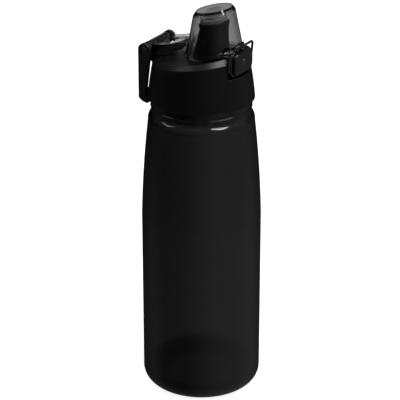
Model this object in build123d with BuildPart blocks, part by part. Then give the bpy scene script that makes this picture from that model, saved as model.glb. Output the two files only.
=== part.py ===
from build123d import *
import os
from math import atan, cos, degrees, radians, sin, tan

# Flip-top drinking bottle: a rigid smoke-tinted body with a screw cap that carries a sprung flip lid,
# a push-button latch, a wire safety bail and a swinging carry handle.
# Millimetres. The origin is the centre of the base, +Z is up and the button faces -Y.

# ---------------------------------------------------------------- driving dimensions
# Bottle body
body_radius = 37.5
body_wall = 2.0
base_corner = 9.0
base_thickness = 2.6
foot_inner_radius = 26.0
punt_radius = 22.0
punt_height = 3.0
side_height = 118.0
band_top = 195.5
taper_height = band_top - 14.5
taper_fullness = 0.65
shoulder_radius = 33.1
shoulder_rise = 5.2
shoulder_round = (0.72, 0.62)
band_radius = 31.0
bead_height = band_top - 5.0
bead_proud = 0.5
bead_half_width = 0.9
mouth_radius = 24.2
neck_wall = 2.2
neck_step = 3.0
mouth_height = band_top + 13.5

# Screw thread between the neck and the cap liner
thread_pitch = 4.0
thread_depth = 1.2
thread_root_width = 2.0
thread_crest_width = 1.2
neck_thread_turns = 2.0
liner_thread_turns = 1.5
thread_start = band_top + 2.5
thread_gap = 0.4
thread_bite = 0.15

# Cap
cap_bottom_gap = 0.5
cap_radius = 33.0
cap_middle_radius = 31.95
cap_middle_rise = 9.5
cap_top_radius = 30.15
cap_top_rise = 21.0
crown_height = band_top + 28.2
crown_radius = 27.0
edge_height = crown_height - 2.3
edge_tilt = 8.1
deck_tilt = 10.5
deck_dish = 0.5
deck_rim = 1.6
deck_thickness = 2.2
cap_wall = 2.4
liner_wall = 1.4
liner_plate = 1.5
liner_gap = 0.1
liner_inset = 1.0
liner_shelf = 1.6
gasket_thickness = 1.5
gasket_seat = 0.1

# Spout
spout_forward = 7.0
spout_radius = 11.6
spout_bore = 9.0
spout_base_rise = 1.2
mouth_forward = 9.15
mouth_z = crown_height + 20.0
mouth_tilt = 11.0
mouth_outer = 8.9
drink_bore = 6.8
lip_outer = 9.3
lip_height = 2.0
lip_spigot = 1.0
lip_spigot_wall = 1.0
lip_edge = 0.6
spout_flange_radius = 14.6
spout_flange_height = 1.8
seal_inset = 0.6
seal_width = 2.4
seal_height = 0.95

# Hinge
pin_y = 32.1
pin_z = crown_height
pin_radius = 1.5
running_gap = 0.05
knuckle_radius = 3.9
knuckle_half_width = 8.2
spring_bay = 4.6
cover_wall = 0.8
foot_clearance = 0.5
foot_front = 7.6
foot_front_slope = 0.6
foot_sink = 1.0
foot_lip = 2.0
foot_depth = 7.5
coil_radius = 2.3
coil_wire = 0.4
coil_turns = 5.0
coil_spacing = 2.35

# Lid
lid_gap = 1.05
dome_forward = 9.25
dome_base_radius = 17.7
dome_shoulder_radius = 13.1
dome_top_radius = 11.3
dome_shoulder_z = crown_height + 27.7
dome_top_z = crown_height + 30.4
dome_top_forward = 9.0
dome_tilt = 12.0
dome_wall = 1.8
dome_roof = 2.2
dome_roof_step = 0.4
flange_proud = 0.7
flange_height = 1.4
arm_inner = 8.7
arm_wall = 1.6
arm_rim_z = crown_height + 10.2
arm_rim_slope = 0.251
arm_ear_radius = 4.0
arm_boss_wall = 1.5
arm_heel = 2.6
arm_rim_heel = 2.0
plate_drop = 0.8
plate_thickness = 1.6
plate_front = 10.5
plate_rear_gap = 0.4
bowl_y = 18.6
bowl_radius = 6.6
bowl_depth = 5.2
bowl_wall = 1.3
plug_radius = 8.3
plug_rim = 2.0
plug_nose = 1.3
plug_nose_radius = 5.8
plug_stem_radius = 5.2
plug_boss_radius = 3.8
plug_boss_length = 2.4
plug_gap = 0.25
plug_nose_taper = 18.0

# Carry handle
handle_inner = 12.6
handle_thickness = 2.8
handle_eye = 4.3
handle_rear_bottom = crown_height - 31.7
handle_heel = (33.6, crown_height - 33.7)
handle_toe = (29.5, crown_height - 34.6)
handle_toe_top = crown_height - 32.4
handle_instep = (31.5, crown_height - 29.4)
handle_bar_front = 33.5
handle_bar_bottom = crown_height - 32.8
handle_bar_top = crown_height - 27.7
handle_bar_inset = 0.2
handle_bar_corner = 1.0
handle_corner = 0.8
handle_edge = 0.7
pin_cap_radius = 2.1
pin_cap_thickness = 1.1
pin_cap_proud = 0.15
pin_cap_edge = 0.5

# Latch at the front of the cap
housing_half_width = 11.8
housing_rear = 19.8
housing_wall = 1.2
bezel_back = 27.0
bezel_front = 28.3
bezel_bottom = crown_height - 8.3
bezel_top = crown_height + 7.9
bezel_margin = 1.4
bezel_corner = 5.6
bezel_edge = 0.5
housing_top = crown_height + 6.2
housing_roof = 1.0
housing_corner = 1.2
pocket_gap = 0.15
button_gap = 0.3
button_thickness = 1.7
button_face = 30.4
button_edge = 0.8
badge_radius = 2.2
badge_thickness = 0.6
badge_depth = 0.45
badge_edge = 0.25
guide_half_width = 8.8
guide_gap = 0.4
guide_bottom = crown_height - 5.3
guide_top = crown_height + 1.6
guide_rear = 24.2
button_spring_z = crown_height - 1.9
button_spring_radius = 2.3
button_spring_wire = 0.3
button_spring_turns = 5.0
button_spring_pocket = 3.0
catch_rear = 23.1
catch_nose = 1.8
catch_thickness = 0.9
catch_top = crown_height + 4.7
catch_half_width = 5.0

# Lid tongue over the latch
tongue_front = 26.6
tongue_half_width = 6.0
tongue_gap = 0.6
tongue_rise = 0.85
tongue_thickness = 2.0
tongue_crest = crown_height + 10.6
crest_round = (0.75, 0.8)
crest_width = 1.5
crest_fall = 0.5
crest_foot = 3.0
tab_half_width = 3.4
tab_thickness = 1.4
tab_bottom = crown_height + 2.9
tab_side_gap = 0.5
tab_rear_gap = 0.8

# Wire bail
bail_radius = 0.75
bail_half_width = 13.0
bail_pivot_forward = 27.0
bail_pivot_z = crown_height - 3.4
bail_bar_forward = 28.4
bail_bar_z = crown_height + 9.6
bail_stub_end = 10.6
bail_corner = 2.2
bail_stub_corner = 1.2
bail_side_gap = 0.4
bail_rear_gap = 0.3
bail_hole_wall = 0.1
bail_pocket_corner = 2.2
bail_pocket_rise = 0.2

# Vent valve in the liner plate
vent_y = 14.0
vent_stem_radius = 1.4
vent_cap_radius = 4.2
vent_cap_thickness = 0.8
vent_bulb_radius = 2.2
vent_bulb_height = 1.2
vent_bulb_taper = 20.0

# ---------------------------------------------------------------- worked-out sizes
neck_radius = mouth_radius + neck_wall
thread_crest_radius = neck_radius + thread_depth
liner_bore = thread_crest_radius + thread_gap
liner_radius = liner_bore + liner_wall
cap_bore = liner_radius + liner_gap
cap_bottom = band_top + cap_bottom_gap
gasket_bottom = mouth_height + gasket_seat
plate_bottom = gasket_bottom + gasket_thickness
plate_top = plate_bottom + liner_plate
deck_height = crown_height - deck_dish
deck_slope = tan(radians(deck_tilt))
lid_bottom_height = crown_height + lid_gap
crown_bore = min(cap_top_radius - cap_wall, liner_radius - liner_shelf)
big = 80.0


def tilted(forward, height, tilt):
    """A plane through a point in front of the axis, rising towards the front by tilt degrees."""
    return Plane(
        origin=(0, -forward, height),
        x_dir=(1, 0, 0),
        z_dir=(0, sin(radians(tilt)), cos(radians(tilt))),
    )


def deck_at(y, height=deck_height):
    """Height of the sloping deck, or of a plane parallel to it, at a given y."""
    return height - y * deck_slope


def arm_rim_at(y):
    """Height of the upper rim of the lid arm at a given y."""
    return arm_rim_z - arm_rim_slope * y


def front_plane(forward):
    """An upright plane in front of the axis, facing forward, with its own y axis up."""
    return Plane(origin=(0, -forward, 0), x_dir=(1, 0, 0), z_dir=(0, -1, 0))


def thread_ridge(radius, height, turns, outward):
    """One helical ridge of trapezoid section, standing out of (or into) a wall of the given radius."""
    path = Helix(pitch=thread_pitch, height=turns * thread_pitch, radius=radius, center=(0, 0, height))
    section_plane = Plane(origin=(radius, 0, height), x_dir=(outward, 0, 0), z_dir=(0, 1, 0))
    root = thread_root_width / 2
    crest = thread_crest_width / 2
    profile = section_plane * Polygon(
        (-thread_bite, -root), (thread_depth, -crest), (thread_depth, crest), (-thread_bite, root), align=None
    )
    return sweep(profile, path=path, is_frenet=True)


def save(part, name):
    """Label a finished piece and write it as its own STEP file."""
    part.label = name
    export_step(part, f"parts/{name}.step")


os.makedirs("parts", exist_ok=True)

# ---------------------------------------------------------------- bottle body
inner_radius = body_radius - body_wall
inner_shoulder = shoulder_radius - body_wall
inner_band = band_radius - body_wall
shoulder_top = taper_height + shoulder_rise
taper_run = taper_height - side_height

neck_thread = thread_ridge(neck_radius, thread_start, neck_thread_turns, 1)

with BuildPart() as bottle_body:
    with BuildSketch(Plane.XZ):
        with BuildLine():
            Polyline(
                (0, punt_height),
                (punt_radius, punt_height),
                (foot_inner_radius, 0),
                (body_radius - base_corner, 0),
            )
            JernArc((body_radius - base_corner, 0), (1, 0), base_corner, 90)
            Line((body_radius, base_corner), (body_radius, side_height))
            Spline(
                (body_radius, side_height),
                (
                    shoulder_radius + taper_fullness * (body_radius - shoulder_radius),
                    side_height + taper_run / 2,
                ),
                (shoulder_radius, taper_height),
            )
            ThreePointArc(
                (shoulder_radius, taper_height),
                (
                    band_radius + shoulder_round[0] * (shoulder_radius - band_radius),
                    taper_height + shoulder_round[1] * shoulder_rise,
                ),
                (band_radius, shoulder_top),
            )
            Line((band_radius, shoulder_top), (band_radius, bead_height - bead_half_width))
            ThreePointArc(
                (band_radius, bead_height - bead_half_width),
                (band_radius + bead_proud, bead_height),
                (band_radius, bead_height + bead_half_width),
            )
            Polyline(
                (band_radius, bead_height + bead_half_width),
                (band_radius, band_top),
                (neck_radius, band_top),
                (neck_radius, mouth_height),
                (mouth_radius, mouth_height),
                (mouth_radius, band_top - neck_step),
                (inner_band, bead_height - bead_half_width - body_wall),
                (inner_band, shoulder_top),
                (inner_shoulder, taper_height),
            )
            Spline(
                (inner_shoulder, taper_height),
                (
                    inner_shoulder + taper_fullness * (inner_radius - inner_shoulder),
                    side_height + taper_run / 2,
                ),
                (inner_radius, side_height),
            )
            inner_corner = base_corner - body_wall
            inner_floor = punt_height + base_thickness
            Line((inner_radius, side_height), (inner_radius, inner_floor + inner_corner))
            JernArc((inner_radius, inner_floor + inner_corner), (0, -1), inner_corner, -90)
            Line((inner_radius - inner_corner, inner_floor), (0, inner_floor))
            Line((0, inner_floor), (0, punt_height))
        make_face()
    revolve(axis=Axis.Z)
    add(neck_thread)

save(bottle_body.part, "bottle_body")

# ---------------------------------------------------------------- cap gasket
with BuildPart() as cap_gasket:
    with BuildSketch(Plane.XY.offset(gasket_bottom)):
        Circle(liner_bore - thread_gap)
        Circle(mouth_radius, mode=Mode.SUBTRACT)
    extrude(amount=gasket_thickness)

save(cap_gasket.part, "cap_gasket")

# ---------------------------------------------------------------- cap liner
liner_bottom = cap_bottom + liner_inset

liner_thread = thread_ridge(liner_bore, thread_start + thread_pitch / 2, liner_thread_turns, -1)

with BuildPart() as cap_liner:
    with BuildSketch(Plane.XY.offset(liner_bottom)):
        Circle(liner_radius)
    extrude(amount=plate_top - liner_bottom)
    with BuildSketch(Plane.XY.offset(liner_bottom)):
        Circle(liner_bore)
    extrude(amount=plate_bottom - liner_bottom, mode=Mode.SUBTRACT)
    with BuildSketch(Plane.XY.offset(plate_bottom)):
        with Locations((0, -spout_forward)):
            Circle(spout_bore)
        with Locations((0, vent_y)):
            Circle(vent_stem_radius + running_gap)
    extrude(amount=liner_plate, mode=Mode.SUBTRACT)
    add(liner_thread)

save(cap_liner.part, "cap_liner")

# ---------------------------------------------------------------- cap shell
crown_plane = tilted(0, crown_height, deck_tilt)
edge_plane = tilted(0, edge_height, edge_tilt)
deck_plane = tilted(0, deck_height, deck_tilt)
ceiling_plane = tilted(0, deck_height - deck_thickness, deck_tilt)
pocket_bottom = bezel_bottom - pocket_gap
pocket_half_width = bail_half_width + bail_radius + bail_side_gap
pocket_back = bail_pivot_forward - bail_radius - bail_rear_gap

with BuildPart() as cap_shell:
    with BuildSketch(Plane.XZ):
        with BuildLine():
            Polyline((0, big + cap_bottom), (0, cap_bottom), (cap_radius, cap_bottom))
            Spline(
                (cap_radius, cap_bottom),
                (cap_middle_radius, cap_bottom + cap_middle_rise),
                (cap_top_radius, cap_bottom + cap_top_rise),
            )
            Polyline(
                (cap_top_radius, cap_bottom + cap_top_rise),
                (cap_top_radius, big + cap_bottom),
                (0, big + cap_bottom),
            )
        make_face()
    revolve(axis=Axis.Z)
    split(bisect_by=edge_plane, keep=Keep.BOTTOM)
    with BuildSketch(edge_plane):
        Ellipse(cap_top_radius, cap_top_radius / cos(radians(edge_tilt)))
    with BuildSketch(crown_plane):
        Ellipse(crown_radius, crown_radius / cos(radians(deck_tilt)))
    loft(ruled=True)
    # The dished deck
    with BuildSketch(deck_plane):
        Ellipse(crown_radius - deck_rim, (crown_radius - deck_rim) / cos(radians(deck_tilt)))
    extrude(amount=deck_thickness, mode=Mode.SUBTRACT)
    # Room for the liner, and the hollow over it
    with BuildSketch(Plane.XY.offset(cap_bottom)):
        Circle(cap_bore)
    extrude(amount=plate_top - cap_bottom, mode=Mode.SUBTRACT)
    with BuildSketch(ceiling_plane):
        Ellipse(crown_bore, crown_bore / cos(radians(deck_tilt)))
    extrude(amount=big, dir=(0, 0, -1), mode=Mode.SUBTRACT)
    with BuildSketch(Plane.XY.offset(plate_top)):
        with Locations((0, -spout_forward)):
            Circle(spout_radius + button_gap)
    extrude(amount=big, mode=Mode.SUBTRACT)
    # The front pocket for the latch, with a wider mouth for the bail's legs
    for half_width, back, bottom, corner in (
        (pocket_half_width, pocket_back, pocket_bottom + bail_pocket_rise, bail_pocket_corner),
        (
            housing_half_width + pocket_gap,
            housing_rear - pocket_gap,
            pocket_bottom,
            bezel_corner + pocket_gap,
        ),
    ):
        with BuildSketch(front_plane(back)):
            with Locations((0, bottom + big / 2)):
                RectangleRounded(2 * half_width, big, corner)
        extrude(amount=big, mode=Mode.SUBTRACT)
    # The hinge foot and its two knuckles
    foot_top = pin_z - coil_radius - coil_wire - foot_clearance
    with BuildSketch(Plane.YZ.offset(-knuckle_half_width)):
        Polygon(
            (pin_y - foot_front, deck_at(pin_y - foot_front) - foot_sink),
            (pin_y - foot_front + foot_front_slope, foot_top),
            (pin_y + knuckle_radius, foot_top),
            (pin_y + knuckle_radius, foot_top - foot_lip),
            (cap_top_radius - foot_sink, foot_top - foot_depth),
            align=None,
        )
    extrude(amount=2 * knuckle_half_width)
    for side in (-knuckle_half_width, spring_bay):
        with BuildSketch(Plane.YZ.offset(side)):
            with Locations((pin_y, pin_z)):
                Circle(knuckle_radius)
            Polygon(
                (pin_y - knuckle_radius, foot_top - foot_sink),
                (pin_y + knuckle_radius, foot_top - foot_sink),
                (pin_y + knuckle_radius, pin_z),
                (pin_y - knuckle_radius, pin_z),
                align=None,
            )
            with Locations((pin_y, pin_z)):
                Circle(pin_radius + running_gap, mode=Mode.SUBTRACT)
        extrude(amount=knuckle_half_width - spring_bay)

save(cap_shell.part, "cap_shell")

# ---------------------------------------------------------------- hinge cover, over the spring
with BuildPart() as hinge_cover:
    with BuildSketch(Plane.YZ.offset(-spring_bay + pocket_gap)):
        with Locations((pin_y, pin_z)):
            Circle(knuckle_radius)
            Circle(knuckle_radius - cover_wall, mode=Mode.SUBTRACT)
        with Locations((pin_y, foot_top)):
            Rectangle(big, big, align=(Align.CENTER, Align.MAX), mode=Mode.SUBTRACT)
        with Locations((pin_y - pin_radius, pin_z + pin_radius)):
            Rectangle(big, big, align=(Align.MAX, Align.MAX), mode=Mode.SUBTRACT)
    extrude(amount=2 * (spring_bay - pocket_gap))

save(hinge_cover.part, "hinge_cover")

# ---------------------------------------------------------------- hinge pin and its end caps
handle_outer = handle_inner + handle_thickness
pin_end = handle_outer + pin_cap_proud - pin_cap_thickness

with BuildPart() as hinge_pin:
    with BuildSketch(Plane.YZ.offset(-pin_end)):
        with Locations((pin_y, pin_z)):
            Circle(pin_radius)
    extrude(amount=2 * pin_end)

save(hinge_pin.part, "hinge_pin")

for name, direction in (("pin_cap_left", -1), ("pin_cap_right", 1)):
    with BuildPart() as pin_cap:
        face = Plane(origin=(direction * pin_end, pin_y, pin_z), x_dir=(0, 1, 0), z_dir=(direction, 0, 0))
        with BuildSketch(face):
            Circle(pin_cap_radius)
        extrude(amount=pin_cap_thickness)
        fillet(pin_cap.faces().sort_by(Axis.X)[-1 if direction > 0 else 0].edges(), radius=pin_cap_edge)
    save(pin_cap.part, name)

# ---------------------------------------------------------------- torsion spring
coil_pitch = coil_spacing * coil_wire
coil_length = coil_turns * coil_pitch
coil_start = -coil_length / 2
coil_path = Helix(
    pitch=coil_pitch,
    height=coil_length,
    radius=coil_radius,
    center=(coil_start, pin_y, pin_z),
    direction=(1, 0, 0),
)

with BuildPart() as hinge_spring:
    with BuildSketch(Plane(origin=coil_path @ 0, z_dir=coil_path % 0)):
        Circle(coil_wire)
    sweep(path=coil_path, is_frenet=True)

save(hinge_spring.part, "hinge_spring")

# ---------------------------------------------------------------- spout
mouth_plane = tilted(mouth_forward, mouth_z, mouth_tilt)
spout_base_z = deck_at(-spout_forward) + spout_base_rise
rise = mouth_z - spout_base_z


def spout_plane(share):
    """A plane across the spout, part of the way from its base to its mouth."""
    forward = spout_forward + share * (mouth_forward - spout_forward)
    return tilted(forward, spout_base_z + share * rise, share * mouth_tilt)


flare = spout_radius - mouth_outer

with BuildPart() as spout:
    with BuildSketch(Plane.XY.offset(plate_top)):
        with Locations((0, -spout_forward)):
            Circle(spout_radius)
    extrude(amount=spout_base_z - plate_top)
    for share, flare_share in ((0.0, 1.0), (0.3, 0.52), (0.65, 0.17), (1.0, 0.0)):
        with BuildSketch(spout_plane(share)):
            Circle(mouth_outer + flare_share * flare)
    loft()
    with BuildSketch(mouth_plane):
        Circle(drink_bore + lip_spigot_wall)
    extrude(amount=lip_spigot)
    with BuildSketch(Plane.XY.offset(plate_top)):
        with Locations((0, -spout_forward)):
            Circle(spout_flange_radius)
    extrude(amount=spout_flange_height)
    # The drink channel
    with BuildSketch(Plane.XY.offset(plate_top)):
        with Locations((0, -spout_forward)):
            Circle(spout_bore)
    extrude(amount=spout_base_z - plate_top, mode=Mode.SUBTRACT)
    with BuildSketch(spout_plane(0.0)):
        Circle(spout_bore)
    with BuildSketch(mouth_plane.offset(2 * lip_spigot)):
        Circle(drink_bore)
    loft(mode=Mode.SUBTRACT)
    # The seat of the seal
    with BuildSketch(Plane.XY.offset(plate_top)):
        with Locations((0, -spout_forward)):
            Circle(spout_bore + seal_inset + seal_width)
            Circle(spout_bore + seal_inset, mode=Mode.SUBTRACT)
    extrude(amount=seal_height, mode=Mode.SUBTRACT)

save(spout.part, "spout")

with BuildPart() as spout_seal:
    with BuildSketch(Plane.XY.offset(plate_top)):
        with Locations((0, -spout_forward)):
            Circle(spout_bore + seal_inset + seal_width - running_gap)
            Circle(spout_bore + seal_inset + running_gap, mode=Mode.SUBTRACT)
    extrude(amount=seal_height - running_gap)

save(spout_seal.part, "spout_seal")

with BuildPart() as spout_lip:
    with BuildSketch(mouth_plane):
        Circle(lip_outer)
    extrude(amount=lip_height)
    with BuildSketch(mouth_plane):
        Circle(drink_bore)
    extrude(amount=lip_height, mode=Mode.SUBTRACT)
    with BuildSketch(mouth_plane):
        Circle(drink_bore + lip_spigot_wall + running_gap)
    extrude(amount=lip_spigot + running_gap, mode=Mode.SUBTRACT)
    fillet(spout_lip.faces().sort_by(Axis.Z)[-1].edges(), radius=lip_edge)

save(spout_lip.part, "spout_lip")

# ---------------------------------------------------------------- vent valve
with BuildPart() as vent_valve:
    with BuildSketch(Plane.XY.offset(plate_bottom - vent_bulb_radius)):
        with Locations((0, vent_y)):
            Circle(vent_stem_radius)
    extrude(amount=liner_plate + vent_bulb_radius + vent_cap_thickness)
    with BuildSketch(Plane.XY.offset(plate_top)):
        with Locations((0, vent_y)):
            Circle(vent_cap_radius)
    extrude(amount=vent_cap_thickness)
    with BuildSketch(Plane.XY.offset(plate_bottom - running_gap)):
        with Locations((0, vent_y)):
            Circle(vent_bulb_radius)
    extrude(amount=-vent_bulb_height, taper=vent_bulb_taper)

save(vent_valve.part, "vent_valve")

# ---------------------------------------------------------------- lid: dome, arm and tongue in one moulding
lid_plane = tilted(dome_forward, deck_at(-dome_forward, lid_bottom_height), deck_tilt)
shoulder_plane = tilted(dome_top_forward, dome_shoulder_z, dome_tilt)
roof_plane = tilted(dome_top_forward, dome_top_z, dome_tilt)
inner_roof_z = dome_top_z - dome_roof
inner_roof_plane = tilted(dome_top_forward, inner_roof_z, dome_tilt)
plate_tilt = degrees(atan(arm_rim_slope))
arm_outer = arm_inner + arm_wall
notch_top = housing_top + tongue_rise

with BuildPart() as lid:
    # Thumb bowl and the plate it hangs from
    plate_plane = tilted(0, arm_rim_z - plate_drop, plate_tilt)
    plate_rear = pin_y - arm_ear_radius - plate_rear_gap
    end_radius = arm_inner
    bowl_rim_z = arm_rim_at(bowl_y) - plate_drop
    bowl_sphere = (bowl_radius**2 + bowl_depth**2) / (2 * bowl_depth)
    bowl_centre = (0, bowl_y, bowl_rim_z - bowl_depth + bowl_sphere)
    with Locations(bowl_centre):
        Sphere(bowl_sphere + bowl_wall)
    with BuildSketch(plate_plane):
        Rectangle(big, big)
    extrude(amount=big, mode=Mode.SUBTRACT)
    with BuildSketch(plate_plane):
        stretch = 1 / cos(radians(plate_tilt))
        with Locations((0, (plate_front + end_radius) * stretch)):
            Ellipse(end_radius, end_radius * stretch)
            Rectangle(
                2 * end_radius,
                (plate_rear - plate_front - end_radius) * stretch,
                align=(Align.CENTER, Align.MIN),
            )
    extrude(amount=-plate_thickness)
    with Locations(bowl_centre):
        Sphere(bowl_sphere, mode=Mode.SUBTRACT)
    # The two side walls with their ears and bosses
    for side in (-1, 1):
        wall_plane = Plane.YZ.offset(side * (arm_inner + arm_wall / 2))
        with BuildSketch(wall_plane):
            Polygon(
                (0, deck_at(0, lid_bottom_height)),
                (pin_y - arm_heel, deck_at(pin_y - arm_heel, lid_bottom_height)),
                (pin_y, pin_z),
                (pin_y - arm_rim_heel, arm_rim_at(pin_y - arm_rim_heel)),
                (0, arm_rim_at(0)),
                align=None,
            )
            with Locations((pin_y, pin_z)):
                Circle(arm_ear_radius)
        extrude(amount=arm_wall / 2, both=True)
        with BuildSketch(Plane.YZ.offset(side * arm_outer)):
            with Locations((pin_y, pin_z)):
                Circle(pin_radius + arm_boss_wall)
        extrude(amount=side * (handle_inner - button_gap - arm_outer))
    # The dome
    with BuildSketch(lid_plane):
        Circle(dome_base_radius)
    with BuildSketch(shoulder_plane):
        Circle(dome_shoulder_radius)
    with BuildSketch(roof_plane):
        Circle(dome_top_radius)
    loft(ruled=True)
    with BuildSketch(lid_plane):
        Circle(dome_base_radius + flange_proud)
    extrude(amount=flange_height)
    # The tongue and its finger crest
    with BuildSketch(Plane.YZ.offset(-tongue_half_width)):
        with BuildLine():
            tongue_top = notch_top + tongue_thickness
            Polyline(
                (-dome_forward, notch_top),
                (-tongue_front, notch_top),
                (-tongue_front, tongue_crest - crest_round[1]),
            )
            ThreePointArc(
                (-tongue_front, tongue_crest - crest_round[1]),
                (-tongue_front + crest_round[0], tongue_crest),
                (-tongue_front + crest_width, tongue_crest - crest_fall),
            )
            Polyline(
                (-tongue_front + crest_width, tongue_crest - crest_fall),
                (-tongue_front + crest_foot, tongue_top),
                (-dome_forward, tongue_top),
                (-dome_forward, notch_top),
            )
        make_face()
    extrude(amount=2 * tongue_half_width)
    # Clearance over the latch housing
    with BuildSketch(Plane.XY.offset(notch_top)):
        with Locations((0, -housing_rear + tongue_gap)):
            Rectangle(2 * (housing_half_width + tongue_gap), big, align=(Align.CENTER, Align.MAX))
    extrude(amount=-big, mode=Mode.SUBTRACT)
    # The hollow of the dome
    with BuildSketch(lid_plane.offset(-1)):
        Circle(dome_base_radius - dome_wall)
    with BuildSketch(inner_roof_plane):
        Circle(dome_top_radius - dome_roof_step)
    loft(ruled=True, mode=Mode.SUBTRACT)
    # The hook that drops into the latch
    with BuildSketch(Plane.XY.offset(tab_bottom)):
        with Locations((0, -tongue_front)):
            Rectangle(2 * tab_half_width, tab_thickness, align=(Align.CENTER, Align.MIN))
    extrude(amount=notch_top + tongue_thickness / 2 - tab_bottom)
    # The boss that holds the stopper
    with BuildSketch(inner_roof_plane):
        Circle(plug_boss_radius)
    extrude(amount=-plug_boss_length)
    # The bore of the hinge pin
    with BuildSketch(Plane.YZ.offset(-big / 2)):
        with Locations((pin_y, pin_z)):
            Circle(pin_radius + running_gap)
    extrude(amount=big, mode=Mode.SUBTRACT)

save(lid.part, "lid")

# ---------------------------------------------------------------- lid stopper
lip_top_z = mouth_z + lip_height * cos(radians(mouth_tilt))
plug_forward = mouth_forward - lip_height * sin(radians(mouth_tilt))
plug_plane = tilted(plug_forward, lip_top_z + plug_gap, mouth_tilt)
plug_roof = tilted(dome_top_forward, inner_roof_z - running_gap, dome_tilt)

with BuildPart() as lid_plug:
    with BuildSketch(plug_plane):
        Circle(plug_radius)
    extrude(amount=plug_rim)
    with BuildSketch(plug_plane):
        Circle(plug_nose_radius)
    extrude(amount=-plug_nose, taper=plug_nose_taper)
    for end in (plug_plane, plug_roof):
        with BuildSketch(end):
            Circle(plug_stem_radius)
    loft()
    with BuildSketch(plug_roof):
        Circle(plug_boss_radius + running_gap)
    extrude(amount=-plug_boss_length, mode=Mode.SUBTRACT)

save(lid_plug.part, "lid_plug")

# ---------------------------------------------------------------- carry handle
handle_rear = pin_y + handle_eye

with BuildPart() as carry_handle:
    for side in (-1, 1):
        with BuildSketch(Plane.YZ.offset(side * handle_inner)) as arm:
            with BuildLine():
                Polyline(
                    (handle_rear, pin_z),
                    (handle_rear, handle_rear_bottom),
                    handle_heel,
                    handle_toe,
                    (handle_toe[0], handle_toe_top),
                    handle_instep,
                    (pin_y - handle_eye, pin_z),
                )
                ThreePointArc(
                    (pin_y - handle_eye, pin_z), (pin_y, pin_z + handle_eye), (pin_y + handle_eye, pin_z)
                )
            make_face()
            fillet(arm.vertices().sort_by(Axis.Y)[:4], radius=handle_corner)
        extrude(amount=side * handle_thickness)
    with BuildSketch(Plane.YZ.offset(-handle_inner)) as bar:
        Polygon(
            (handle_bar_front, handle_bar_bottom),
            (handle_rear - handle_bar_inset, handle_rear_bottom),
            (handle_rear - handle_bar_inset, handle_bar_top),
            (handle_bar_front, handle_bar_top),
            align=None,
        )
        fillet(bar.vertices(), radius=handle_bar_corner)
    extrude(amount=2 * handle_inner)
    for side in (0, -1):
        fillet(carry_handle.faces().sort_by(Axis.X)[side].edges(), radius=handle_edge)
    for side in (-1, 1):
        with BuildSketch(Plane.YZ.offset(side * (pin_end - pocket_gap))):
            with Locations((pin_y, pin_z)):
                Circle(pin_cap_radius + button_gap)
        extrude(amount=side * big, mode=Mode.SUBTRACT)
    with BuildSketch(Plane.YZ.offset(-big / 2)):
        with Locations((pin_y, pin_z)):
            Circle(pin_radius + running_gap)
    extrude(amount=big, mode=Mode.SUBTRACT)

save(carry_handle.part, "carry_handle")

# ---------------------------------------------------------------- latch housing with its bezel
bezel_height = bezel_top - bezel_bottom
bezel_middle = (bezel_top + bezel_bottom) / 2
opening_half_width = housing_half_width - bezel_margin
button_half_width = opening_half_width - button_gap
opening_height = bezel_height - 1.5 * bezel_margin
opening_middle = bezel_middle + 0.25 * bezel_margin
button_height = opening_height - 2 * button_gap
cavity_half_width = guide_half_width + guide_gap


with BuildPart() as latch_housing:
    with BuildSketch(front_plane(housing_rear)) as box:
        with Locations((0, bezel_bottom)):
            Rectangle(2 * housing_half_width, housing_top - bezel_bottom, align=(Align.CENTER, Align.MIN))
        fillet(box.vertices().sort_by(Axis.Y)[:2], radius=bezel_corner)
        fillet(box.vertices().sort_by(Axis.Y)[-2:], radius=housing_corner)
    extrude(amount=bezel_back - housing_rear)
    with BuildSketch(front_plane(bezel_back)):
        with Locations((0, bezel_middle)):
            RectangleRounded(2 * housing_half_width, bezel_height, bezel_corner)
    extrude(amount=bezel_front - bezel_back)
    fillet(latch_housing.faces().sort_by(Axis.Y)[0].outer_wire().edges(), radius=bezel_edge)
    with BuildSketch(front_plane(bezel_back)):
        with Locations((0, opening_middle)):
            RectangleRounded(2 * opening_half_width, opening_height, bezel_corner - bezel_margin)
    extrude(amount=big, mode=Mode.SUBTRACT)
    with BuildSketch(front_plane(housing_rear + housing_wall)):
        with Locations((0, guide_bottom - button_gap)):
            Rectangle(
                2 * cavity_half_width,
                housing_top - housing_roof - guide_bottom + button_gap,
                align=(Align.CENTER, Align.MIN),
            )
    extrude(amount=big, mode=Mode.SUBTRACT)
    # The slot for the lid's hook
    slot_rear = tongue_front - tab_thickness - tab_rear_gap
    with BuildSketch(Plane.XY.offset(housing_top - housing_roof)):
        with Locations((0, -slot_rear)):
            Rectangle(2 * (tab_half_width + tab_side_gap), big, align=(Align.CENTER, Align.MAX))
    extrude(amount=big, mode=Mode.SUBTRACT)
    # The bail's two pivot holes
    for side in (-1, 1):
        with BuildSketch(Plane.YZ.offset(side * (bail_stub_end - bail_hole_wall))):
            with Locations((-bail_pivot_forward, bail_pivot_z)):
                Circle(bail_radius + running_gap)
        extrude(amount=side * big, mode=Mode.SUBTRACT)

save(latch_housing.part, "latch_housing")

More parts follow.
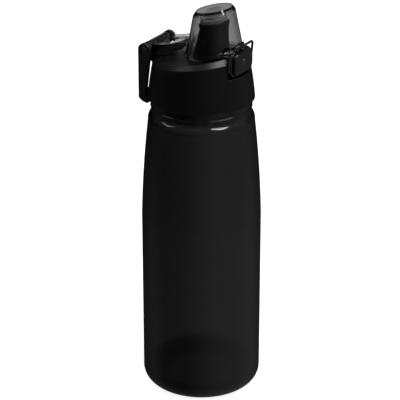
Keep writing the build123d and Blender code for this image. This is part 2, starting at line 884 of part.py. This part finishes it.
# ---------------------------------------------------------------- push button
with BuildPart() as push_button:
    with BuildSketch(front_plane(button_face - button_thickness)):
        with Locations((0, opening_middle)):
            RectangleRounded(2 * button_half_width, button_height, bezel_corner - bezel_margin - button_gap)
    extrude(amount=button_thickness)
    fillet(push_button.faces().sort_by(Axis.Y)[0].edges(), radius=button_edge)
    with BuildSketch(front_plane(guide_rear)):
        with Locations((0, guide_bottom)):
            Rectangle(2 * guide_half_width, guide_top - guide_bottom, align=(Align.CENTER, Align.MIN))
    extrude(amount=button_face - button_thickness - guide_rear)
    with BuildSketch(front_plane(guide_rear)):
        with Locations((0, button_spring_z)):
            Circle(button_spring_radius + button_spring_wire + button_gap)
    extrude(amount=button_spring_pocket, mode=Mode.SUBTRACT)
    with BuildSketch(front_plane(button_face)):
        with Locations((0, opening_middle)):
            Circle(badge_radius + running_gap)
    extrude(amount=-badge_depth, mode=Mode.SUBTRACT)

save(push_button.part, "push_button")

with BuildPart() as button_badge:
    with BuildSketch(front_plane(button_face - badge_depth)):
        with Locations((0, opening_middle)):
            Circle(badge_radius)
    extrude(amount=badge_thickness)
    fillet(button_badge.faces().sort_by(Axis.Y)[0].edges(), radius=badge_edge)

save(button_badge.part, "button_badge")

# ---------------------------------------------------------------- latch catch, fixed on the button's guide
with BuildPart() as latch_catch:
    with BuildSketch(front_plane(catch_rear)):
        with Locations((0, guide_top)):
            Rectangle(2 * catch_half_width, catch_thickness, align=(Align.CENTER, Align.MIN))
    extrude(amount=button_face - button_thickness - catch_rear)
    with BuildSketch(front_plane(catch_rear)):
        with Locations((0, guide_top)):
            Rectangle(2 * catch_half_width, catch_top - guide_top, align=(Align.CENTER, Align.MIN))
    extrude(amount=catch_nose)

save(latch_catch.part, "latch_catch")

# ---------------------------------------------------------------- button spring
spring_back = housing_rear + housing_wall + button_spring_wire
spring_front = guide_rear + button_spring_pocket - button_spring_wire
button_coil = Helix(
    pitch=(spring_front - spring_back) / button_spring_turns,
    height=spring_front - spring_back,
    radius=button_spring_radius,
    center=(0, -spring_back, button_spring_z),
    direction=(0, -1, 0),
)

with BuildPart() as button_spring:
    with BuildSketch(Plane(origin=button_coil @ 0, z_dir=button_coil % 0)):
        Circle(button_spring_wire)
    sweep(path=button_coil, is_frenet=True)

save(button_spring.part, "button_spring")

# ---------------------------------------------------------------- wire bail
with BuildPart() as wire_bail:
    with BuildLine() as bail_path:
        FilletPolyline(
            (-bail_stub_end, -bail_pivot_forward, bail_pivot_z),
            (-bail_half_width, -bail_pivot_forward, bail_pivot_z),
            (-bail_half_width, -bail_bar_forward, bail_bar_z),
            (bail_half_width, -bail_bar_forward, bail_bar_z),
            (bail_half_width, -bail_pivot_forward, bail_pivot_z),
            (bail_stub_end, -bail_pivot_forward, bail_pivot_z),
            radius=[bail_stub_corner, bail_corner, bail_corner, bail_stub_corner],
        )
    with BuildSketch(Plane(origin=bail_path.line @ 0, z_dir=bail_path.line % 0)):
        Circle(bail_radius)
    sweep()

save(wire_bail.part, "wire_bail")
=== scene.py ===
"""Looks of the flip-top drinking bottle: plastics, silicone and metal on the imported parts, studio, camera.

Metres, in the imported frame: the origin is the centre of the base, +Z is up and the button faces -Y.
"""

import math

import bpy
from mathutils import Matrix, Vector

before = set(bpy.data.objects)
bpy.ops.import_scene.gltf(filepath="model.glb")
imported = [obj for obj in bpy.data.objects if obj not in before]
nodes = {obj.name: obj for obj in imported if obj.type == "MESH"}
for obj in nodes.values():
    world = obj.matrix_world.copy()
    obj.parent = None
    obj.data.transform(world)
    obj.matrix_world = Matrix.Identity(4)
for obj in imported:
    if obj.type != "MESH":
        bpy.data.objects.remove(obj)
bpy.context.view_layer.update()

MM = 0.001
CAMERA_PLACE = (-0.9560, -0.5974, 0.6477)
CAMERA_PITCH = 24.87
CAMERA_HEADING = -58.0
CAMERA_LENS = 178.0
CAMERA_SHIFT = -0.00375
# Level directions in the frame: to the right of the main view, and away from its camera
VIEW_RIGHT = Vector((0.530, -0.848, 0.0))
VIEW_AWAY = Vector((0.848, 0.530, 0.0))
UP = Vector((0.0, 0.0, 1.0))
LIGHT_AIM = Vector((0.0, 0.0, 0.19))
LIGHT_DISTANCE = 1.2
FLOOR_REACH = 6.0
FLOOR_DROP = 0.1 * MM


# ---------------------------------------------------------------- material helpers
class Surface:
    """A Principled material with the few nodes that its detail needs."""

    def __init__(self, name, **sockets):
        self.material = bpy.data.materials.new(name)
        self.material.use_nodes = True
        self.tree = self.material.node_tree
        self.shader = self.tree.nodes["Principled BSDF"]
        self.output = self.tree.nodes["Material Output"]
        self.place = self.tree.nodes.new("ShaderNodeTexCoord").outputs["Object"]
        self.normal = None
        for socket, value in sockets.items():
            self.shader.inputs[socket.replace("_", " ")].default_value = value

    def link(self, source, target):
        self.tree.links.new(source, target)

    def noise(self, scale, detail=3.0, roughness=0.55, stretch=(1.0, 1.0, 1.0)):
        """Noise over the object; scale is in features per metre."""
        mapping = self.tree.nodes.new("ShaderNodeMapping")
        mapping.inputs["Scale"].default_value = stretch
        texture = self.tree.nodes.new("ShaderNodeTexNoise")
        texture.inputs["Scale"].default_value = scale
        texture.inputs["Detail"].default_value = detail
        texture.inputs["Roughness"].default_value = roughness
        self.link(self.place, mapping.inputs["Vector"])
        self.link(mapping.outputs["Vector"], texture.inputs["Vector"])
        return texture.outputs["Fac"]

    def ranged(self, source, low, high, start=0.3, end=0.7):
        """The source's start to end, spread over low to high."""
        node = self.tree.nodes.new("ShaderNodeMapRange")
        node.inputs["From Min"].default_value = start
        node.inputs["From Max"].default_value = end
        node.inputs["To Min"].default_value = low
        node.inputs["To Max"].default_value = high
        self.link(source, node.inputs["Value"])
        return node.outputs["Result"]

    def colour(self, source, dark, light):
        """Base colour from dark to light as the source goes from 0.3 to 0.7."""
        ramp = self.tree.nodes.new("ShaderNodeValToRGB")
        ramp.color_ramp.elements[0].position = 0.3
        ramp.color_ramp.elements[1].position = 0.7
        ramp.color_ramp.elements[0].color = (*dark, 1.0)
        ramp.color_ramp.elements[1].color = (*light, 1.0)
        self.link(source, ramp.inputs["Fac"])
        self.link(ramp.outputs["Color"], self.shader.inputs["Base Color"])

    def rough(self, source, low, high):
        self.link(self.ranged(source, low, high), self.shader.inputs["Roughness"])

    def soft_edges(self, radius):
        """Rounds the look of sharp moulded edges."""
        bevel = self.tree.nodes.new("ShaderNodeBevel")
        bevel.samples = 4
        bevel.inputs["Radius"].default_value = radius
        self.normal = bevel.outputs["Normal"]
        self.link(self.normal, self.shader.inputs["Normal"])

    def bump(self, source, strength, distance):
        node = self.tree.nodes.new("ShaderNodeBump")
        node.inputs["Strength"].default_value = strength
        node.inputs["Distance"].default_value = distance
        self.link(source, node.inputs["Height"])
        if self.normal is not None:
            self.link(self.normal, node.inputs["Normal"])
        self.normal = node.outputs["Normal"]
        self.link(self.normal, self.shader.inputs["Normal"])

    def absorb(self, density):
        """Smoke tint that deepens with the length of the path through the plastic."""
        volume = self.tree.nodes.new("ShaderNodeVolumeAbsorption")
        volume.inputs["Color"].default_value = (0.0, 0.0, 0.0, 1.0)
        volume.inputs["Density"].default_value = density
        self.link(volume.outputs["Volume"], self.output.inputs["Volume"])


# ---------------------------------------------------------------- materials
def smoke_plastic(name, density, low, high):
    """Clear plastic that darkens with its thickness; density is per metre, low to high is the roughness."""
    s = Surface(name, Base_Color=(1, 1, 1, 1), IOR=1.55, Transmission_Weight=1.0, Roughness=low)
    s.rough(s.noise(45.0, 2.0), low, high)
    s.bump(s.noise(60.0, 1.0), 0.05, 0.2 * MM)
    s.absorb(density)
    return s.material


def moulded_black(name, dark, light, low, high, grain, grain_depth, edge=0.25 * MM, gloss=0.5):
    """A near-black moulding; low to high is its roughness, grain is in features per metre."""
    s = Surface(name, IOR=1.5, Specular_IOR_Level=gloss)
    s.colour(s.noise(90.0, 4.0), (dark,) * 3, (light,) * 3)
    s.rough(s.noise(350.0, 3.0), low, high)
    s.soft_edges(edge)
    s.bump(s.noise(grain, 2.0, 0.7), 0.35, grain_depth)
    return s.material


def rubber(name, dark, light):
    s = Surface(name, IOR=1.42, Roughness=0.5, Subsurface_Weight=0.15, Subsurface_Scale=1.0 * MM)
    s.colour(s.noise(200.0, 3.0), dark, light)
    s.rough(s.noise(600.0, 3.0), 0.42, 0.6)
    s.bump(s.noise(2500.0, 2.0), 0.2, 0.03 * MM)
    return s.material


def metal(name, dark, light, low, high, stretch):
    """Plain metal with fine marks, drawn out along the axis on which stretch is small."""
    s = Surface(name, Metallic=1.0)
    s.colour(s.noise(400.0, 3.0), (dark,) * 3, (light,) * 3)
    s.rough(s.noise(900.0, 3.0, stretch=stretch), low, high)
    s.bump(s.noise(2500.0, 2.0, stretch=stretch), 0.15, 0.01 * MM)
    return s.material


smoke_body = smoke_plastic("smoke_body", 1180.0, 0.02, 0.06)
smoke_lid = smoke_plastic("smoke_lid", 330.0, 0.02, 0.07)
matte_black = moulded_black(
    "matte_black", 0.0003, 0.0008, 0.31, 0.37, 2600.0, 0.12 * MM, edge=0.7 * MM, gloss=0.3
)
handle_black = moulded_black("handle_black", 0.001, 0.002, 0.40, 0.52, 2200.0, 0.02 * MM, gloss=0.35)
spout_black = moulded_black("spout_black", 0.0015, 0.003, 0.16, 0.22, 900.0, 0.001 * MM, gloss=0.2)
gloss_black = moulded_black("gloss_black", 0.0015, 0.003, 0.14, 0.22, 1500.0, 0.006 * MM)
liner_black = moulded_black("liner_black", 0.010, 0.018, 0.35, 0.5, 2000.0, 0.02 * MM)
grey_silicone = rubber("grey_silicone", (0.70, 0.705, 0.71), (0.78, 0.785, 0.79))
black_silicone = rubber("black_silicone", (0.02,) * 3, (0.035,) * 3)
pin_steel = metal("pin_steel", 0.32, 0.42, 0.25, 0.38, (0.1, 1.0, 1.0))
spring_steel = metal("spring_steel", 0.45, 0.55, 0.2, 0.3, (1.0, 1.0, 1.0))
black_wire = moulded_black("black_wire", 0.002, 0.004, 0.2, 0.3, 1500.0, 0.006 * MM, edge=0.05 * MM)
dark_metal = metal("dark_metal", 0.11, 0.17, 0.16, 0.24, (1.0, 0.1, 1.0))

FINISHES = {
    "bottle_body": smoke_body,
    "cap_gasket": black_silicone,
    "cap_liner": liner_black,
    "cap_shell": matte_black,
    "hinge_cover": gloss_black,
    "hinge_pin": pin_steel,
    "pin_cap_left": dark_metal,
    "pin_cap_right": dark_metal,
    "hinge_spring": spring_steel,
    "spout": spout_black,
    "spout_seal": black_silicone,
    "spout_lip": spout_black,
    "vent_valve": grey_silicone,
    "lid": smoke_lid,
    "lid_plug": grey_silicone,
    "carry_handle": handle_black,
    "latch_housing": gloss_black,
    "push_button": gloss_black,
    "button_badge": dark_metal,
    "latch_catch": liner_black,
    "button_spring": spring_steel,
    "wire_bail": black_wire,
}
for node_name, finish in FINISHES.items():
    for slot in nodes[node_name].material_slots:
        slot.material = finish


# ---------------------------------------------------------------- studio
def area_light(name, direction, size, strength):
    """A rectangular soft box that looks at the bottle from the given direction."""
    data = bpy.data.lights.new(name, "AREA")
    data.shape = "RECTANGLE"
    data.size, data.size_y = size
    data.energy = strength * math.pi * size[0] * size[1]
    light = bpy.data.objects.new(name, data)
    towards = Vector(direction).normalized()
    light.location = LIGHT_AIM + towards * LIGHT_DISTANCE
    light.rotation_mode = "QUATERNION"
    light.rotation_quaternion = towards.to_track_quat("Z", "Y")
    bpy.context.scene.collection.objects.link(light)


area_light("key_box", (0.142, -0.424, 0.894), (0.85, 0.6), 10.0)
area_light("fill_box", (-0.24, 0.54, 0.80), (0.45, 0.85), 1.6)


def make_world():
    """White to rays that go straight; reflected and scattered rays see a dim room, lighter on the right."""
    world = bpy.data.worlds.new("studio")
    world.use_nodes = True
    tree = world.node_tree
    background = tree.nodes["Background"]
    direction = tree.nodes.new("ShaderNodeTexCoord").outputs["Generated"]

    def along(axis, start, end, low, high):
        """Goes smoothly from low to high as the direction's share along the axis goes from start to end."""
        dot = tree.nodes.new("ShaderNodeVectorMath")
        dot.operation = "DOT_PRODUCT"
        dot.inputs[1].default_value = axis
        tree.links.new(direction, dot.inputs[0])
        spread = tree.nodes.new("ShaderNodeMapRange")
        spread.interpolation_type = "SMOOTHSTEP"
        for socket, value in zip(("From Min", "From Max", "To Min", "To Max"), (start, end, low, high)):
            spread.inputs[socket].default_value = value
        tree.links.new(dot.outputs["Value"], spread.inputs["Value"])
        return spread.outputs["Result"]

    def combine(operation, a, b):
        node = tree.nodes.new("ShaderNodeMath")
        node.operation = operation
        for socket, source in zip(node.inputs, (a, b)):
            if isinstance(source, float):
                socket.default_value = source
            else:
                tree.links.new(source, socket)
        return node.outputs["Value"]

    sides = along(VIEW_RIGHT, -0.6, 0.7, 0.022, 0.185)
    far_left = combine(
        "MULTIPLY", along(VIEW_AWAY, -0.3, 0.4, 0.0, 0.04), along(VIEW_RIGHT, -0.5, 0.2, 1.0, 0.0)
    )
    far_left = combine("MULTIPLY", far_left, along(UP, -0.4, -0.2, 1.0, 0.3))
    table = along(UP, -0.70, -0.25, 0.075, 0.0)
    ceiling = along(UP, -0.05, 0.35, 0.0, 0.10)
    walls = combine("ADD", combine("ADD", sides, far_left), combine("ADD", table, ceiling))
    room = combine("MULTIPLY", walls, along(VIEW_AWAY, 0.0, 0.95, 1.0, 0.1))
    backdrop = combine("MULTIPLY", along(VIEW_AWAY, 0.88, 0.96, 0.0, 0.5), along(UP, 0.0, 0.15, 0.0, 1.0))
    dim = combine("ADD", room, backdrop)
    rays = tree.nodes.new("ShaderNodeLightPath")
    bounces = combine("ADD", rays.outputs["Glossy Depth"], rays.outputs["Diffuse Depth"])
    straight = combine("LESS_THAN", bounces, 0.5)
    entered = combine("GREATER_THAN", rays.outputs["Transmission Depth"], 0.5)
    one_wall = combine("LESS_THAN", rays.outputs["Transmission Depth"], 2.5)
    one_wall = combine("MULTIPLY", one_wall, along(VIEW_AWAY, 0.0, 0.5, 0.0, 1.0))
    inside = combine("MULTIPLY", entered, combine("ADD", combine("MULTIPLY", one_wall, 0.6), 0.06))
    strength = combine("MAXIMUM", combine("MAXIMUM", dim, inside), straight)
    tree.links.new(strength, background.inputs["Strength"])
    background.inputs["Color"].default_value = (1.0, 1.0, 1.0, 1.0)
    bpy.context.scene.world = world


make_world()


def make_floor():
    """A pale table top that gives off its own light, and isn't seen in gloss or through clear plastic."""
    mesh = bpy.data.meshes.new("floor")
    corners = [(x * FLOOR_REACH, y * FLOOR_REACH, 0) for x, y in ((-1, -1), (1, -1), (1, 1), (-1, 1))]
    mesh.from_pydata(corners, [], [(0, 1, 2, 3)])
    floor = bpy.data.objects.new("floor", mesh)
    floor.location.z = -FLOOR_DROP
    bpy.context.scene.collection.objects.link(floor)
    s = Surface("pale_floor", Roughness=0.9, Specular_IOR_Level=0.1)
    s.shader.inputs["Emission Color"].default_value = (1.0, 1.0, 1.0, 1.0)
    s.shader.inputs["Emission Strength"].default_value = 0.9
    s.colour(s.noise(3.0, 4.0), (0.48, 0.48, 0.48), (0.52, 0.52, 0.52))
    mesh.materials.append(s.material)
    floor.visible_glossy = False
    floor.visible_transmission = False


make_floor()

# ---------------------------------------------------------------- camera
camera_data = bpy.data.cameras.new("camera")
camera_data.lens = CAMERA_LENS
camera_data.sensor_width = 36.0
camera_data.shift_x = CAMERA_SHIFT
camera_data.clip_end = 50.0
camera = bpy.data.objects.new("camera", camera_data)
camera.location = CAMERA_PLACE
camera.rotation_euler = (math.radians(90.0 - CAMERA_PITCH), 0.0, math.radians(CAMERA_HEADING))
bpy.context.scene.collection.objects.link(camera)
bpy.context.scene.camera = camera
bpy.context.scene.view_settings.view_transform = "Standard"
